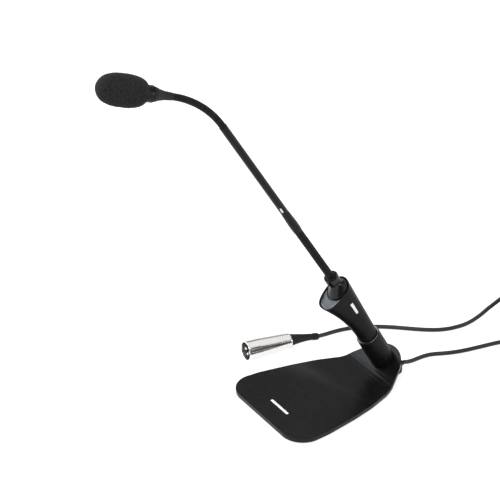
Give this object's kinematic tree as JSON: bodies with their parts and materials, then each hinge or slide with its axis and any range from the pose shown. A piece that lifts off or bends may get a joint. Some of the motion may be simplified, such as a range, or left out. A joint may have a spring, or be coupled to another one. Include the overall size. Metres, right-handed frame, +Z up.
{
  "type": "gooseneck microphone",
  "caption": "Desktop gooseneck microphone: sloping metal base, flared stem with mute button, flexible neck, foam-covered capsule and a captive cable with a round pin plug.",
  "frame": {"origin": "on the desk, at the centre of the rear foot pad's underside, below the ramp that carries the stem", "axes": "-Y towards the talker, the way the neck leans; +X to the right of a talker who faces the microphone; +Z up"},
  "size_m": [0.1546, 0.5144, 0.3907],
  "materials": {
    "plate_paint": "satin black paint",
    "stem_paint": "satin black paint",
    "housing_plastic": "fine matt black",
    "button_plastic": "glossy grey-blue",
    "cone_plastic": "polished black",
    "rubber": "matt black",
    "neck_paint": "satin black paint",
    "foam": "open-cell foam",
    "cable_pvc": "satin black jacket",
    "nickel": "satin nickel plate",
    "insert_plastic": "matt black",
    "steel": "bright zinc",
    "pale_ring": "satin",
    "board": "green solder mask",
    "mesh_metal": "black oxide"
  },
  "bodies": {
    "root": {"base_plate": "plate_paint", "front_foot_pad": "rubber", "rear_foot_pad": "rubber", "cable_housing": "housing_plastic", "housing_screw_1": "steel", "housing_screw_2": "steel", "cable_gland": "rubber", "stem": "stem_paint", "stem_spigot": "steel", "stem_ring": "pale_ring", "stem_set_screw": "steel", "spigot_screw_1": "steel", "spigot_screw_2": "steel", "preamp_housing": "housing_plastic", "preamp_board": "board", "switch_board": "board", "mute_switch": "insert_plastic", "neck_cone": "cone_plastic", "neck_grommet": "rubber", "flex_root": "neck_paint", "cable_from_base": "cable_pvc", "cable_coil": "cable_pvc", "cable_to_plug": "cable_pvc", "plug_boot": "rubber", "plug_shell": "nickel", "plug_insert": "insert_plastic", "plug_pin_1": "nickel", "plug_pin_2": "nickel", "plug_pin_3": "nickel"},
    "button": {"mute_button": "button_plastic"},
    "lower_1": {"lower_flex_1": "neck_paint"},
    "lower_2": {"lower_flex_2": "neck_paint"},
    "lower_3": {"lower_flex_3": "neck_paint"},
    "lower_4": {"lower_flex_4": "neck_paint"},
    "lower_5": {"lower_flex_5": "neck_paint"},
    "tube": {"flex_ferrule": "neck_paint", "rigid_tube": "neck_paint"},
    "upper_1": {"upper_flex_1": "neck_paint"},
    "upper_2": {"upper_flex_2": "neck_paint"},
    "upper_3": {"upper_flex_3": "neck_paint"},
    "upper_4": {"upper_flex_4": "neck_paint"},
    "upper_5": {"upper_flex_5": "neck_paint"},
    "head": {"capsule_boot": "rubber", "capsule_holder": "neck_paint", "capsule": "mesh_metal", "capsule_grille": "mesh_metal"},
    "foam": {"windscreen": "foam"}
  },
  "joints": [
    {"name": "mute_press", "type": "slide", "parent": "root", "child": "button", "axis": [0, 0.6893, -0.7245], "range_m": [0, 0.0008], "stiffness_N_per_m": 800, "springref_m": -0.0004},
    {"name": "lower_tilt_1", "type": "hinge", "parent": "root", "child": "lower_1", "pos_m": [0, -0.06636, 0.13273], "axis": [1, 0, 0], "range_deg": [-20, 20]},
    {"name": "lower_side_1", "type": "hinge", "parent": "lower_1", "child": "lower_2", "pos_m": [0, -0.07235, 0.14254], "axis": [0, 0.8536, 0.521], "range_deg": [-20, 20]},
    {"name": "lower_tilt_2", "type": "hinge", "parent": "lower_2", "child": "lower_3", "pos_m": [0, -0.07834, 0.15236], "axis": [1, 0, 0], "range_deg": [-20, 20]},
    {"name": "lower_side_2", "type": "hinge", "parent": "lower_3", "child": "lower_4", "pos_m": [0, -0.08433, 0.16218], "axis": [0, 0.8536, 0.521], "range_deg": [-20, 20]},
    {"name": "lower_tilt_3", "type": "hinge", "parent": "lower_4", "child": "lower_5", "pos_m": [0, -0.09033, 0.17199], "axis": [1, 0, 0], "range_deg": [-20, 20]},
    {"name": "lower_side_3", "type": "hinge", "parent": "lower_5", "child": "tube", "pos_m": [0, -0.09632, 0.18181], "axis": [0, 0.8536, 0.521], "range_deg": [-20, 20]},
    {"name": "upper_tilt_1", "type": "hinge", "parent": "tube", "child": "upper_1", "pos_m": [0, -0.17891, 0.31697], "axis": [1, 0, 0], "range_deg": [-25, 20]},
    {"name": "upper_side_1", "type": "hinge", "parent": "upper_1", "child": "upper_2", "pos_m": [0, -0.1858, 0.32617], "axis": [0, 0.7655, 0.6435], "range_deg": [-20, 20]},
    {"name": "upper_tilt_2", "type": "hinge", "parent": "upper_2", "child": "upper_3", "pos_m": [0, -0.19368, 0.33454], "axis": [1, 0, 0], "range_deg": [-25, 20]},
    {"name": "upper_side_2", "type": "hinge", "parent": "upper_3", "child": "upper_4", "pos_m": [0, -0.20244, 0.34197], "axis": [0, 0.6034, 0.7974], "range_deg": [-20, 20]},
    {"name": "upper_tilt_3", "type": "hinge", "parent": "upper_4", "child": "upper_5", "pos_m": [0, -0.21198, 0.34839], "axis": [1, 0, 0], "range_deg": [-25, 20]},
    {"name": "upper_side_3", "type": "hinge", "parent": "upper_5", "child": "head", "pos_m": [0, -0.22218, 0.35369], "axis": [0, 0.4111, 0.9116], "range_deg": [-20, 20]},
    {"name": "windscreen_pull", "type": "slide", "parent": "head", "child": "foam", "axis": [0, -0.9265, 0.3762], "range_m": [0, 0.045]}
  ],
  "couplings": [
    {"joint": "lower_tilt_2", "follows": "lower_tilt_1", "ratio": 1},
    {"joint": "lower_side_2", "follows": "lower_side_1", "ratio": 1},
    {"joint": "lower_tilt_3", "follows": "lower_tilt_1", "ratio": 1},
    {"joint": "lower_side_3", "follows": "lower_side_1", "ratio": 1},
    {"joint": "upper_tilt_2", "follows": "upper_tilt_1", "ratio": 1},
    {"joint": "upper_side_2", "follows": "upper_side_1", "ratio": 1},
    {"joint": "upper_tilt_3", "follows": "upper_tilt_1", "ratio": 1},
    {"joint": "upper_side_3", "follows": "upper_side_1", "ratio": 1}
  ]
}
